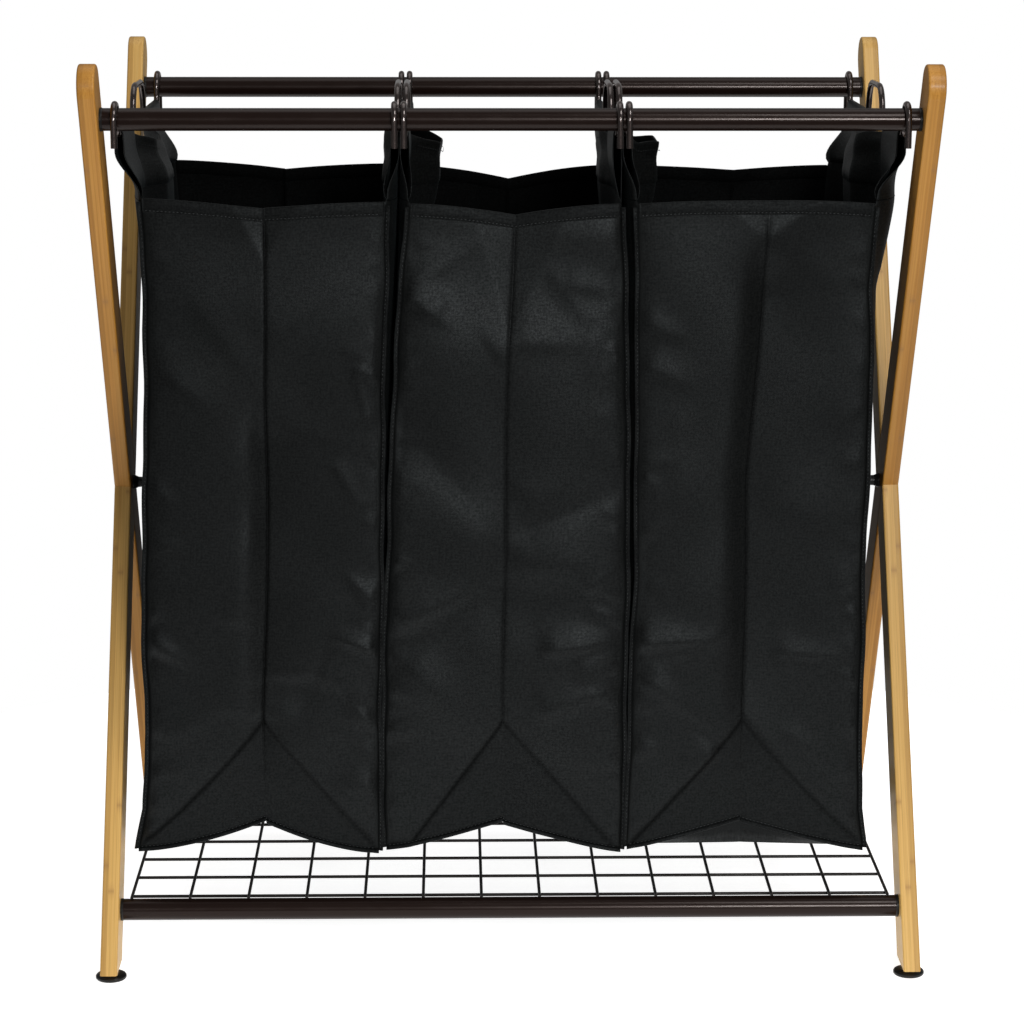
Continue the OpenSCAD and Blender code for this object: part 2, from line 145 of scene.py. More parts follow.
# Folds of each front panel: (u, z) at the start and end, where u is 0 at the
# left seam and 1 at the right, how proud the fold stands, and its spread above and below.
FOLDS = {
    "left": [
        (0.02, 542, 0.30, 494, 1.9, 16, 6), (0.02, 432, 0.14, 416, 1.7, 7, 4),
        (0.01, 298, 0.20, 270, 2.2, 10, 5), (0.50, 560, 0.90, 622, 1.6, 26, 9),
        (0.99, 525, 0.86, 538, 2.6, 8, 3.5), (0.90, 535, 0.97, 465, 1.5, 6, 5),
        (0.80, 452, 0.91, 412, 1.6, 8, 4), (0.99, 284, 0.79, 297, 2.9, 12, 3.5),
        (0.74, 262, 0.97, 248, 1.7, 22, 9), (0.98, 214, 0.84, 251, 1.7, 9, 5),
        (0.97, 327, 0.84, 356, 1.7, 8, 4), (0.52, 486, 0.95, 466, 1.1, 16, 7),
        (0.19, 600, 0.48, 520, 1.2, 18, 9), (0.05, 205, 0.35, 240, 1.0, 16, 10)],
    "middle": [
        (0.00, 599, 0.24, 570, 3.0, 13, 5), (0.02, 606, 0.36, 648, 2.2, 15, 12),
        (0.66, 622, 0.90, 560, 1.5, 13, 9), (0.88, 568, 0.83, 512, 1.2, 10, 9),
        (0.74, 610, 0.99, 598, 1.6, 13, 7), (0.52, 560, 0.87, 556, 1.9, 22, 10),
        (0.94, 557, 0.99, 523, 1.6, 6, 5), (0.02, 490, 0.49, 383, -1.8, 19, 13),
        (0.51, 387, 0.98, 426, -2.3, 14, 9), (0.00, 303, 0.47, 356, 3.3, 26, 9),
        (0.50, 360, 0.99, 367, 2.4, 24, 15), (0.82, 338, 0.99, 362, 2.0, 14, 5),
        (0.66, 284, 0.99, 295, 2.5, 16, 5), (0.64, 226, 0.99, 253, 2.8, 18, 6),
        (0.08, 281, 0.40, 198, 2.2, 22, 12), (0.00, 530, 0.10, 541, 2.2, 7, 4),
        (0.00, 362, 0.10, 366, 1.7, 6, 4), (0.00, 212, 0.12, 209, 1.7, 7, 5)],
    "right": [
        (0.02, 571, 0.22, 560, 2.1, 13, 5), (0.02, 537, 0.24, 518, 2.3, 13, 5),
        (0.02, 440, 0.09, 428, 1.8, 8, 4), (0.01, 290, 0.37, 295, 2.7, 17, 5),
        (0.04, 261, 0.37, 211, 2.4, 16, 6), (0.62, 281, 0.99, 276, 1.4, 12, 4),
        (0.99, 505, 0.84, 482, 1.4, 14, 7), (0.18, 500, 0.20, 392, 1.3, 12, 14),
        (0.60, 640, 0.95, 600, 1.2, 22, 14), (0.55, 420, 0.97, 392, 1.1, 22, 12)],
}
# How finely the cloth is modelled. A side's columns are before, in and behind the hand gap.
FRONT_COLUMNS = 92
SIDE_COLUMNS = (27, 30, 27)
ROWS = 190
OUTWARD = (-1.0, 1.0)    # X away from the bag on its left and right sides


# ---- small helpers

def smooth(t):
    """0 to 1 with a level start and end."""
    t = np.clip(t, 0.0, 1.0)
    return t * t * (3.0 - 2.0 * t)


def lerp(a, b, t):
    return a + (b - a) * t


def unit(vector):
    """A vector, or each row of vectors, made 1 long."""
    return vector / np.linalg.norm(vector, axis=-1, keepdims=True)


def vectors(x, y, z, like):
    """One vector for each value of an array, from arrays or numbers."""
    return np.stack([x + 0 * like, y + 0 * like, z + 0 * like], -1)


def new_object(name, data):
    obj = bpy.data.objects.new(name, data)
    bpy.context.scene.collection.objects.link(obj)
    return obj


def new_mesh(name, verts, faces, shade_smooth=True):
    """A mesh object from points in millimetres."""
    mesh = bpy.data.meshes.new(name)
    mesh.from_pydata((verts * MM).tolist(), [], faces)
    mesh.validate()
    mesh.update()
    if shade_smooth:
        mesh.polygons.foreach_set("use_smooth", [True] * len(mesh.polygons))
    return new_object(name, mesh)


def apply_modifiers(obj):
    """Bakes an object's modifiers into its mesh."""
    bpy.context.view_layer.update()
    evaluated = obj.evaluated_get(bpy.context.evaluated_depsgraph_get())
    mesh = bpy.data.meshes.new_from_object(evaluated)
    obj.modifiers.clear()
    old = obj.data
    obj.data = mesh
    bpy.data.meshes.remove(old)
    return obj


def thicken(obj):
    """Gives a cloth surface its thickness, with the next material slot on its inside."""
    mod = obj.modifiers.new("cloth", "SOLIDIFY")
    mod.thickness = CLOTH_T * MM
    mod.offset = -1.0
    mod.material_offset = 1
    mod.material_offset_rim = 0
    return apply_modifiers(obj)


def set_weave(obj, coords):
    """Stores where each point lies on the flat cloth, in metres, for the weave."""
    attribute = obj.data.attributes.new("weave", "FLOAT_VECTOR", "POINT")
    attribute.data.foreach_set("vector", (coords * MM).ravel())


# ---- materials

# Bamboo, in metres: a ply's thickness, a strip's width and the step between knuckles.
PLY, STRIP, KNUCKLE_STEP = 0.0052, 0.0195, 0.29
THREAD_PITCH = 0.0011    # a weave's thread and its gap, over and under, in metres


class Nodes:
    """Short calls for building a material's node tree."""

    def __init__(self, name):
        self.material = bpy.data.materials.new(name)
        self.material.use_nodes = True
        self.tree = self.material.node_tree
        self.shader = self.tree.nodes["Principled BSDF"]

    def add(self, kind, **settings):
        node = self.tree.nodes.new(kind)
        for key, value in settings.items():
            if key in node.inputs:
                node.inputs[key].default_value = value
            else:
                setattr(node, key, value)
        return node

    def link(self, out, into):
        self.tree.links.new(out, into)

    def value(self, kind, *inputs):
        """A Math node whose inputs are sockets or numbers."""
        node = self.add("ShaderNodeMath", operation=kind)
        for i, x in enumerate(inputs):
            if isinstance(x, (int, float)):
                node.inputs[i].default_value = x
            else:
                self.link(x, node.inputs[i])
        return node.outputs[0]

    def times(self, a, b):
        return self.value("MULTIPLY", a, b)

    def plus(self, a, b):
        return self.value("ADD", a, b)

    def split(self, vector):
        """A vector's X, Y and Z."""
        node = self.add("ShaderNodeSeparateXYZ")
        self.link(vector, node.inputs[0])
        return node.outputs["X"], node.outputs["Y"], node.outputs["Z"]

    def place(self, tilt=0.0):
        """Object coordinates in metres, turned by tilt about X."""
        coords = self.add("ShaderNodeTexCoord")
        mapping = self.add("ShaderNodeMapping", Rotation=(tilt, 0, 0))
        self.link(coords.outputs["Object"], mapping.inputs["Vector"])
        return mapping.outputs["Vector"]

    def scaled(self, vector, scale):
        node = self.add("ShaderNodeVectorMath", operation="MULTIPLY")
        self.link(vector, node.inputs[0])
        node.inputs[1].default_value = scale
        return node.outputs["Vector"]

    def noise(self, vector, scale, detail=3.0, rough=0.5):
        """Noise at one scale, or at a scale for each axis."""
        if isinstance(scale, tuple):
            vector, scale = self.scaled(vector, scale), 1.0
        node = self.add("ShaderNodeTexNoise", Scale=scale, Detail=detail, Roughness=rough)
        self.link(vector, node.inputs["Vector"])
        return node.outputs["Fac"]

    def ramp(self, fac, *stops):
        """Colour ramp from (position, colour or grey value) stops."""
        node = self.add("ShaderNodeValToRGB")
        self.link(fac, node.inputs["Fac"])
        elements = node.color_ramp.elements
        while len(elements) < len(stops):
            elements.new(0.5)
        for element, (position, colour) in zip(elements, stops):
            element.position = position
            if isinstance(colour, (int, float)):
                colour = (colour, colour, colour)
            element.color = (*colour, 1.0)
        return node.outputs["Color"]

    def mix(self, fac, a, b, kind="MIX"):
        """Mixes two colours, each a socket or a triple."""
        node = self.add("ShaderNodeMix", data_type="RGBA", blend_type=kind)
        for socket, x in ((node.inputs[0], fac), (node.inputs[6], a), (node.inputs[7], b)):
            if isinstance(x, bpy.types.NodeSocket):
                self.link(x, socket)
            elif isinstance(x, (int, float)):
                socket.default_value = x
            else:
                socket.default_value = (*x, 1.0)
        return node.outputs[2]

    def colour(self, socket):
        self.link(socket, self.shader.inputs["Base Color"])

    def rough(self, fac, *stops):
        self.link(self.ramp(fac, *stops), self.shader.inputs["Roughness"])

    def bump(self, height, strength, distance):
        node = self.add("ShaderNodeBump", Strength=strength, Distance=distance)
        self.link(height, node.inputs["Height"])
        self.link(node.outputs["Normal"], self.shader.inputs["Normal"])

    def set(self, **settings):
        for key, value in settings.items():
            self.shader.inputs[key.replace("_", " ")].default_value = value


def bamboo(name, tilt, outer_x, side, tone_of_leg):
    """Laminated bamboo along a leg that leans by tilt. The outer ply is darker."""
    deep, mid, pale = tone_of_leg
    m = Nodes(name)
    along = m.place(tilt)
    x, y, z = m.split(along)
    depth = m.times(m.value("SUBTRACT", x, outer_x), -side)
    ply = m.value("FLOOR", m.value("DIVIDE", depth, PLY))
    wobble = m.times(m.noise(along, (0, 30, 3)), 0.0015)
    strip = m.value("FLOOR", m.value("DIVIDE", m.plus(y, wobble), STRIP))
    cell = m.add("ShaderNodeCombineXYZ")
    m.link(ply, cell.inputs["X"])
    m.link(strip, cell.inputs["Y"])
    tone = m.add("ShaderNodeTexWhiteNoise", noise_dimensions="3D")
    m.link(cell.outputs[0], tone.inputs["Vector"])
    fine = m.noise(along, (1600, 1600, 14), detail=4, rough=0.65)
    fibres = m.noise(along, (700, 700, 5), detail=2)
    broad = m.noise(along, (40, 40, 6), detail=2)
    base = m.ramp(fibres, (0.25, deep), (0.5, mid), (0.8, pale))
    base = m.mix(m.times(tone.outputs["Value"], 0.45), base, deep)
    outer = m.value("LESS_THAN", depth, PLY)
    base = m.mix(m.times(outer, 0.65), base, tuple(0.8 * c for c in deep))
    base = m.mix(m.times(broad, 0.30), base, pale)
    pores = m.ramp(fine, (0.30, 0.62), (0.46, 1.0))
    base = m.mix(0.55, base, pores, "MULTIPLY")
    # Knuckles: thin darker bands across a strip, at a different height in each.
    shift = m.times(tone.outputs["Value"], KNUCKLE_STEP)
    height = m.plus(z, shift)
    phase = m.value("FRACT", m.value("DIVIDE", height, KNUCKLE_STEP))
    near = m.value("ABSOLUTE", m.value("SUBTRACT", phase, 0.5))
    knuckle = m.ramp(near, (0.0, 1.0), (0.010, 0.35), (0.030, 0.0))
    base = m.mix(m.times(knuckle, 0.5), base, (0.30, 0.145, 0.05))
    m.colour(base)
    m.rough(fine, (0.3, 0.50), (0.7, 0.36))
    edges = m.value("FRACT", m.value("DIVIDE", depth, PLY))
    groove = m.ramp(edges, (0.0, 0.0), (0.03, 1.0), (0.97, 1.0), (1.0, 0.0))
    m.bump(m.mix(0.25, fine, groove), 0.35, 0.0002)
    m.set(Specular_IOR_Level=0.25, Coat_Weight=0.08, Coat_Roughness=0.20)
    return m.material


def coated_metal(name, colour, glint, rough, coat=0.05, metal=0.0):
    """Bronze-black or black powder coat: fine orange peel, faint flakes and scuffs."""
    m = Nodes(name)
    at = m.place()
    peel = m.noise(at, 900.0, detail=2)
    flake = m.noise(at, 2600.0, detail=1)
    scuff = m.noise(at, (25, 70, 70), detail=4, rough=0.6)
    base = m.mix(m.times(m.ramp(flake, (0.55, 0.0), (0.75, 1.0)), 0.25), colour, glint)
    base = m.mix(m.times(m.ramp(scuff, (0.66, 0.0), (0.84, 1.0)), 0.12), base, glint)
    m.colour(base)
    m.rough(scuff, (0.3, rough), (0.75, rough + 0.10))
    m.bump(peel, 0.12, 0.0001)
    m.set(Metallic=metal, Specular_IOR_Level=0.19, Specular_Tint=(1.0, 0.84, 0.78, 1.0),
          Coat_Weight=coat, Coat_Roughness=0.10)
    return m.material


def moulded_plastic(name):
    m = Nodes(name)
    at = m.place()
    grain = m.noise(at, 1500.0, detail=3)
    dust = m.noise(at, 120.0, detail=4)
    m.colour(m.mix(m.times(dust, 0.5), (0.0045, 0.0045, 0.0045),
                   (0.014, 0.014, 0.013)))
    m.rough(grain, (0.3, 0.30), (0.7, 0.44))
    m.bump(grain, 0.2, 0.0001)
    m.set(Specular_IOR_Level=0.25)
    return m.material


def zinc(name):
    m = Nodes(name)
    at = m.place()
    spangle = m.add("ShaderNodeTexVoronoi", Scale=700.0)
    m.link(at, spangle.inputs["Vector"])
    turned = m.noise(at, (300, 300, 4000), detail=2)
    m.colour(m.ramp(spangle.outputs["Distance"], (0.1, (0.62, 0.62, 0.60)),
                    (0.6, (0.74, 0.74, 0.73))))
    m.rough(turned, (0.35, 0.24), (0.65, 0.40))
    m.bump(turned, 0.25, 0.0001)
    m.set(Metallic=1.0)
    return m.material


def oxford(name, dark, light, rough=0.46, shine=0.19):
    """Black coated oxford cloth: a fine plain weave, slubs, a faint cool sheen and painted shade
    in folds.
    """
    m = Nodes(name)
    flat = m.add("ShaderNodeAttribute", attribute_name="weave").outputs["Vector"]
    press = m.add("ShaderNodeAttribute", attribute_name="press").outputs["Fac"]
    x, y, _ = m.split(flat)
    thread = 2.0 * pi / THREAD_PITCH
    warp = m.value("SINE", m.times(x, thread))
    weft = m.value("SINE", m.times(y, thread))
    weave = m.value("MULTIPLY_ADD", m.times(warp, weft), 0.5, 0.5)
    across = m.noise(flat, (110, 800, 1), detail=3)
    down = m.noise(flat, (800, 110, 1), detail=3)
    slub = m.times(m.plus(across, down), 0.5)
    grain = m.noise(flat, 520.0, detail=2)
    mottle = m.noise(flat, (14, 14, 1), detail=4)
    tone = m.times(m.plus(slub, grain), 0.5)
    base = m.mix(m.ramp(tone, (0.42, 0.0), (0.58, 1.0)), dark, light)
    base = m.mix(m.times(mottle, 0.35), base, dark)
    # Painted shade: darker colour along the pressed folds and the middle crease, and faintly below
    # the folds.
    base = m.mix(m.times(press, 0.75), base, tuple(0.3 * c for c in dark))
    m.colour(base)
    m.rough(tone, (0.3, rough + 0.07), (0.7, rough - 0.07))
    # The shine is lowered under the painted crease shade too.
    shine_under_crease_shade = m.times(m.value("MULTIPLY_ADD", press, -0.72, 1.0), shine)
    glint = m.ramp(tone, (0.40, 0.62), (0.60, 1.0))
    m.link(m.times(shine_under_crease_shade, glint), m.shader.inputs["Specular IOR Level"])
    m.bump(m.mix(0.6, weave, tone), 0.38, 0.0002)
    m.set(Specular_Tint=(0.90, 0.98, 1.0, 1.0), Sheen_Weight=0.015, Sheen_Roughness=0.45,
          Sheen_Tint=(0.80, 0.95, 1.0, 1.0))
    return m.material


def thread(name):
    m = Nodes(name)
    at = m.place()
    twist = m.noise(at, (900, 900, 900), detail=2)
    m.colour(m.ramp(twist, (0.3, (0.014, 0.016, 0.017)), (0.7, (0.034, 0.038, 0.039))))
    m.rough(twist, (0.3, 0.5), (0.7, 0.65))
    m.bump(twist, 0.4, 0.0001)
    return m.material


# Deep, middle and pale tones of the two legs of a pair.
BAMBOO = {
    "a": ((0.48, 0.250, 0.058), (0.68, 0.405, 0.118), (0.77, 0.500, 0.170)),
    "b": ((0.38, 0.155, 0.018), (0.53, 0.240, 0.040), (0.62, 0.320, 0.070)),
}


# ---- the CAD's own pieces

def paint(node, material):
    mesh = frame["nodes"][node].data
    mesh.materials.clear()
    mesh.materials.append(material)


def paint_frame():
    """Puts a material on each CAD node. A leg leans by the angle between its two tubes."""
    low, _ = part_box("tube_top_front")
    foot_low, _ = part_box("tube_bottom_front")
    back_low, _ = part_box("tube_top_back")
    tilt = math.atan2(back_low.y - low.y, low.z - foot_low.z)
    for side_name, side in (("left", -1), ("right", 1)):
        for leg, lean in (("a", tilt), ("b", -tilt)):
            node = f"leg_{leg}_{side_name}"
            leg_low, leg_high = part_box(node)
            outer = leg_high.x if side > 0 else leg_low.x
            paint(node, bamboo(f"bamboo_{leg}_{side_name}", lean, outer, side, BAMBOO[leg]))
    finishes = {
        "bronze": coated_metal("bronze_coat", (0.0090, 0.0046, 0.0036), (0.023, 0.013, 0.010),
                               0.20),
        "hanger_wire": coated_metal("hanger_coat", (0.045, 0.033, 0.030), (0.22, 0.17, 0.15), 0.20,
                                    coat=1.0, metal=0.9),
        "black_wire": coated_metal("shelf_coat", (0.008, 0.008, 0.008), (0.03, 0.03, 0.03), 0.42),
        "bolt_steel": coated_metal("bolt_coat", (0.020, 0.014, 0.012), (0.12, 0.09, 0.07), 0.28,
                                   metal=0.4),
        "black_plastic": moulded_plastic("black_plastic"),
        "zinc": zinc("zinc_plate")}
    for part in frame["record"]["subparts"]:
        if part["material_slot"] in finishes:
            paint(part["node"], finishes[part["material_slot"]])


# ---- the bags

def box_middle(node, axis):
    """The middle of a CAD node's box along an axis, in mm."""
    low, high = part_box(node)
    return (low[axis] + high[axis]) / 2 / MM


class Bag:
    """One bag's shape: walls, corners, creases, wrinkles and sleeves."""

    def __init__(self, name):
        self.name = name
        self.spec = BAGS[name]
        self.seed = self.spec["seed"]
        low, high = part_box(f"bag_{name}_panels")
        self.walls = (low.x / MM, high.x / MM)
        self.depth = (high.y - low.y) / 2 / MM
        self.rim = high.z / MM
        self.hanger_nodes = [f"bag_{name}_hanger_{h}" for h in self.spec["hangers"]]
        self.wires = [box_middle(node, 0) for node in self.hanger_nodes]
        self.casing = {}         # each side's casing seam and hand-gap edge, for stitches
        self.run_z = box_middle("tube_top_front", 2) - HANGER_DROP
        self.make_wrinkles()

    # -- outline

    def corner_x(self, side, z):
        """X of a bag's upright corner: side 0 is left and 1 is right."""
        offset = np.interp(-z, [-h for h in EDGE_Z], self.spec["edges"][side])
        phase = self.seed + 2.0 * side
        wave = 0.5 * np.sin(z / 23.0 + phase) + 0.3 * np.sin(z / 11.0 + 2.1 * phase)
        return self.walls[side] + offset + wave * smooth((self.rim - z) / 40.0)

    def corner_y(self, z):
        """Distance of an upright corner from the bag's middle plane."""
        return self.depth - CORNER_INSET + 1.2 * np.sin(z / 85.0 + self.seed)

    def crease_x(self, z):
        x = np.interp(-z, [-h for h in CREASE_Z], self.spec["crease"])
        return x + 0.8 * np.sin(z / 38.0 + self.seed)

    # -- wrinkles

    def make_wrinkles(self):
        """Seeded ripples and folds for each face, and the front's listed folds."""
        r = np.random.default_rng(self.seed)
        self.ripples, self.folds = {}, {}
        for face in ("front", "back", "left", "right"):
            length = r.uniform(60, 190, 9)
            angle = r.uniform(0, pi, 9)
            wave = 2 * pi / length
            self.ripples[face] = np.stack([
                np.cos(angle) * wave, np.sin(angle) * wave, r.uniform(0, 2 * pi, 9),
                length * r.uniform(0.0015, 0.0045, 9)], 1)
            rows = []
            for edge in (0.0, 1.0):          # small puckers along the upright seams
                z = 125.0
                while z < 655.0:
                    reach = r.uniform(0.05, 0.20) * (1 - 2 * edge)
                    rows.append((edge, z, edge + reach, z + r.uniform(-26, 20),
                                 r.uniform(0.4, 1.4), r.uniform(7, 14), r.uniform(4, 7)))
                    z += r.uniform(14, 40)
            for _ in range(10 if face != "front" else 5):
                u, z = r.uniform(0.05, 0.95), r.uniform(150, 620)
                rows.append((u, z, u + r.uniform(-0.4, 0.4), z + r.uniform(-60, 60),
                             r.uniform(0.8, 2.2), r.uniform(10, 26), r.uniform(5, 12)))
            self.folds[face] = rows
        self.folds["front"] += FOLDS[self.name]

    def ripple(self, face, a, z):
        total = np.zeros_like(z)
        for ka, kz, phase, size in self.ripples[face]:
            total = total + size * np.sin(ka * a + kz * z + phase)
        return total

    def wrinkle(self, face, u, z, width):
        """How proud a face's folds stand at u across and height z."""
        total = np.zeros_like(z)
        a = u * width
        for u0, z0, u1, z1, size, up, down in self.folds[face]:
            da, dz = (u1 - u0) * width, float(z1 - z0)
            length = math.hypot(da, dz)
            da, dz = da / length, dz / length
            na, nz = (-dz, da) if da > 0 else (dz, -da)
            along = ((a - u0 * width) * da + (z - z0) * dz) / length
            off = (a - u0 * width) * na + (z - z0) * nz
            spread = np.where(off > 0, up, down) * (1.15 - 0.35 * np.clip(along, 0, 1))
            ends = smooth((along + 0.10) / 0.28) * smooth((1.15 - along) / 0.85)
            total = total + size * ends * np.exp(-np.abs(off / spread) ** 1.7)
        return total

    # -- panels

    def hem_z(self, v):
        """Height of the bottom edge. v is -1 at the left corner, 0 at the crease, 1 right."""
        corner = np.where(v < 0, *self.spec["base_z"])
        return corner + self.spec["hump"] * (1.0 - np.abs(v)) ** self.spec["hump_power"]

    def rim_z(self, v, face):
        which = 0 if face == "front" else 1
        cusp = self.spec["cusp"][which] * (1.0 - np.abs(v)) ** 1.7
        broad = self.spec["broad"][which] * (1.0 - v * v)
        left, right = self.spec["lift"]
        return self.rim + lerp(left, right, (v + 1.0) / 2) - cusp - broad

    def fold_z(self, v):
        """Height of the two pressed folds that run from the apex to the bottom corners."""
        end = np.where(v < 0, *self.spec["fold_end"])
        base = np.where(v < 0, *self.spec["base_z"]) + 3.0
        return lerp(APEX_Z, base, np.clip(np.abs(v) / end, 0.0, 1.0) ** 0.97)

    def pressed(self, v, z):
        """Painted shade, 0 to 1: on the pressed folds and crease, and faint below the folds."""
        below = self.fold_z(v) - z
        ends = smooth((1.0 - np.abs(v)) / 0.05)
        fold = np.exp(-((below - 1.5) / 4.2) ** 2) * ends * np.where(v < 0, 1.0, 0.75)
        off = np.abs(v) * 100.0
        crease = 0.55 * np.exp(-(off / 1.7) ** 2) * smooth((self.rim - 14.0 - z) / 10.0)
        flap = 0.26 * smooth(below / 9.0)
        return np.maximum(np.maximum(fold, flap), crease * np.where(below > 4.0, 0.4, 1.0))

    def dimple(self, off, z):
        """The rim's pushed-in notch: an upside-down pyramid that ends on the crease."""
        deep, tall, left, right = self.spec["dimple"]
        share = np.clip((z - (self.rim - tall)) / tall, 0.0, 1.1)
        reach = np.where(off < 0, left, right)
        flat = share - np.abs(off) / reach
        return deep * 0.5 * (flat + np.sqrt(flat * flat + 0.003))

    def valley(self, off, z):
        """How deep the crease is sunk: a steep fall on its left and a long rise on its right."""
        deep, top, low, steep = self.spec["valley"]
        high, base = smooth((top - z) / 60.0 + 0.2), smooth((z - low + 70.0) / 150.0)
        left = np.exp(-np.abs(off / steep) ** 1.8) * high * base
        right = np.clip(1.0 - off / 100.0, 0.0, 1.0)
        spread = smooth(off / 40.0)
        high = lerp(high, smooth((top + 30.0 - z) / 170.0 + 0.3), spread)
        base = lerp(base, smooth((z - low + 90.0) / 190.0), spread)
        return deep * np.where(off < 0, left, right * high * base)

    def tuck_in(self, v, z):
        """How far the middle of the rim is drawn into the bag."""
        deep, tall = self.spec["tuck_in"]
        return deep * smooth((z - self.rim + tall) / (1.6 * tall)) * (1.0 - v * v)

    def panel(self, face, v, t):
        """A point grid of the front or back panel: v as in hem_z, and t 0 to 1 upwards."""
        spec = self.spec
        out = -1.0 if face == "front" else 1.0
        z = lerp(self.hem_z(v), self.rim_z(v, face), t)
        xl, xr, middle = self.corner_x(0, z), self.corner_x(1, z), self.crease_x(z)
        off = np.where(v < 0, v * (middle - xl), v * (xr - middle))
        x = middle + off
        u = (x - xl) / (xr - xl)
        edge_fade = smooth((1.0 - np.abs(v)) / 0.07)
        rim_fade = smooth((self.rim - z) / 32.0)

        dimple = self.dimple(off, z) * edge_fade
        valley = self.valley(off, z) * edge_fade
        if face == "back":
            dimple, valley = 0.7 * dimple, 0.4 * valley
        swing = np.where(v < 0, *spec["face"]) * (1.0 - np.abs(v)) * smooth((z - 120.0) / 150.0)
        near = np.minimum(x - xl, xr - x)
        roll = 3.4 * (1.0 - np.exp(-near / 9.0))
        belly = np.where(v < 0, *spec["belly"]) * smooth((z - 105.0) / 160.0)
        belly = belly * smooth((self.rim - z) / 150.0)
        share = np.abs(v) * pi
        belly = belly * (0.5 * np.sin(share) ** 0.8 + 0.5 * np.cos(share / 2) ** 0.7)
        below = self.fold_z(v) - z
        corner_fade = smooth((1.0 - np.abs(v)) / 0.06)
        step = 1.7 * smooth(below / 8.0 + 0.5) * corner_fade
        groove = 0.7 * np.exp(-(below / 3.2) ** 2) * corner_fade
        tuck = step + groove + 0.09 * np.clip(below, 0.0, None)
        crease = 0.45 * np.exp(-(off / 1.8) ** 2) * rim_fade * smooth(0.35 - below / 10.0)
        quiet = 1.0 - 0.7 * smooth(below / 10.0)
        lively = lerp(0.85, 1.35, smooth((540.0 - z) / 220.0))
        creased = lerp(0.85, 1.75, smooth((410.0 - z) / 110.0))
        loose = lively * self.ripple(face, x, z) + creased * self.wrinkle(face, u, z, 200.0)
        sunk = valley + dimple + tuck + crease + self.tuck_in(v, z)
        proud = roll + belly + swing - sunk + edge_fade * quiet * rim_fade * loose
        y = out * (self.corner_y(z) + proud)
        return np.stack([x, y, z], -1)

    def side_x(self, side, y, z):
        """X of a side wall, from the base up to the hanger wire."""
        spec, s = self.spec, OUTWARD[side]
        wire = self.wires[side] + s * SLEEVE_R
        low = np.minimum(z, self.rim)
        corner = self.corner_x(side, low)
        up = np.clip((z - self.rim) / (self.run_z - self.rim), 0.0, 1.0)
        curve = smooth((up - 0.12) / 0.62)
        edge = lerp(corner, wire, curve)
        across = np.clip(np.abs(y) / self.depth, 0.0, 1.0)
        if spec["bulge"][side] is None:      # beside the next bag: straight down
            down = (self.run_z - z) / (self.run_z - spec["base_z"][side])
            hang = lerp(wire, spec["meets"][side], down) - s * 0.15
            return lerp(hang, edge, across ** 12)
        swell = 0.2 + 0.8 * smooth((z - 480.0) / 200.0) ** 1.3
        hang = corner + s * spec["bulge"][side] * swell * smooth((z - 100.0) / 60.0)
        x = lerp(lerp(hang, wire, curve), edge, across ** 7)
        face = ("left", "right")[side]
        calm = smooth((1.0 - across) / 0.12) * smooth((z - 100.0) / 40.0)
        calm = calm * smooth((715.0 - z) / 50.0)
        crease = 2.0 * np.exp(-np.abs(y) / 30.0) * smooth((640.0 - z) / 160.0)
        share = (y + self.depth) / (2 * self.depth)
        folds = self.wrinkle(face, share, low, 2 * self.depth)
        return x + s * calm * (0.8 * self.ripple(face, y, z) + crease + folds)

    def flop(self, y):
        """Share of the hand gap's lean at a distance y from the bag's middle plane."""
        return np.minimum(1.0, 1.25 * np.cos(np.clip(np.abs(y) / 80.0, 0, 1) * pi / 2) ** 2)

    def lean(self, side, y, z):
        """How far the cloth of the hand gap flops into the bag, with a few soft crumples."""
        back = 1.0 - self.spec["upright"][side] * smooth((z - 685.0) / 45.0)
        crumple = 1.6 * np.sin(z / 6.5 + y / 21.0 + self.seed) * smooth((z - 690.0) / 20.0)
        fall = self.spec["lean"][side] * smooth((z - 560.0) / 125.0) * back
        return self.flop(y) * (fall + crumple)


def side_ys(bag):
    """Where the columns of a side wall lie, front to back."""
    n1, n2, n3 = SIDE_COLUMNS
    edge = bag.depth - CORNER_INSET
    parts = [np.linspace(-edge, -GAP_HALF, n1 + 1), np.linspace(-GAP_HALF, GAP_HALF, n2 + 1)[1:],
             np.linspace(GAP_HALF, edge, n3 + 1)[1:]]
    return np.concatenate(parts)


class Cloth:
    """Collects grids of points into one mesh with weave coordinates and painted crease shade."""

    def __init__(self):
        self.points, self.flat, self.press, self.faces, self.slots = [], [], [], [], []
        self.count = 0

    def add(self, grid, flat, press=None):
        """Adds a grid of points, rows by columns, and returns their numbers."""
        rows, columns = grid.shape[:2]
        ids = np.arange(self.count, self.count + rows * columns).reshape(rows, columns)
        self.points.append(grid.reshape(-1, 3))
        self.flat.append(flat.reshape(-1, 3))
        self.press.append(np.zeros(rows * columns) if press is None else press.ravel())
        self.count += rows * columns
        return ids

    def skin(self, ids, flip=False, slot=0):
        """Faces over a grid of point numbers, with the material slot of their outside."""
        a, b, c, d = ids[:-1, :-1], ids[:-1, 1:], ids[1:, 1:], ids[1:, :-1]
        quads = np.stack([a, d, c, b] if flip else [a, b, c, d], -1).reshape(-1, 4)
        self.faces.extend(quads.tolist())
        self.slots.extend([slot] * len(quads))

    def build(self, name, merge=0.02):
        obj = new_mesh(name, np.concatenate(self.points), self.faces)
        set_weave(obj, np.concatenate(self.flat))
        self.slots += [0] * (len(self.faces) - len(self.slots))
        obj.data.polygons.foreach_set("material_index", self.slots)
        # Per-point painted shade along the pressed folds and crease, for the cloth's colour.
        attribute = obj.data.attributes.new("press", "FLOAT", "POINT")
        attribute.data.foreach_set("value", np.concatenate(self.press))
        weld = obj.modifiers.new("weld", "WELD")
        weld.merge_threshold = merge * MM
        return apply_modifiers(obj)


def front_columns():
    """Where the front's columns lie, -1 to 1. They crowd towards the crease."""
    share = np.linspace(-1.0, 1.0, FRONT_COLUMNS + 1)
    return np.sign(share) * np.abs(share) ** 1.4


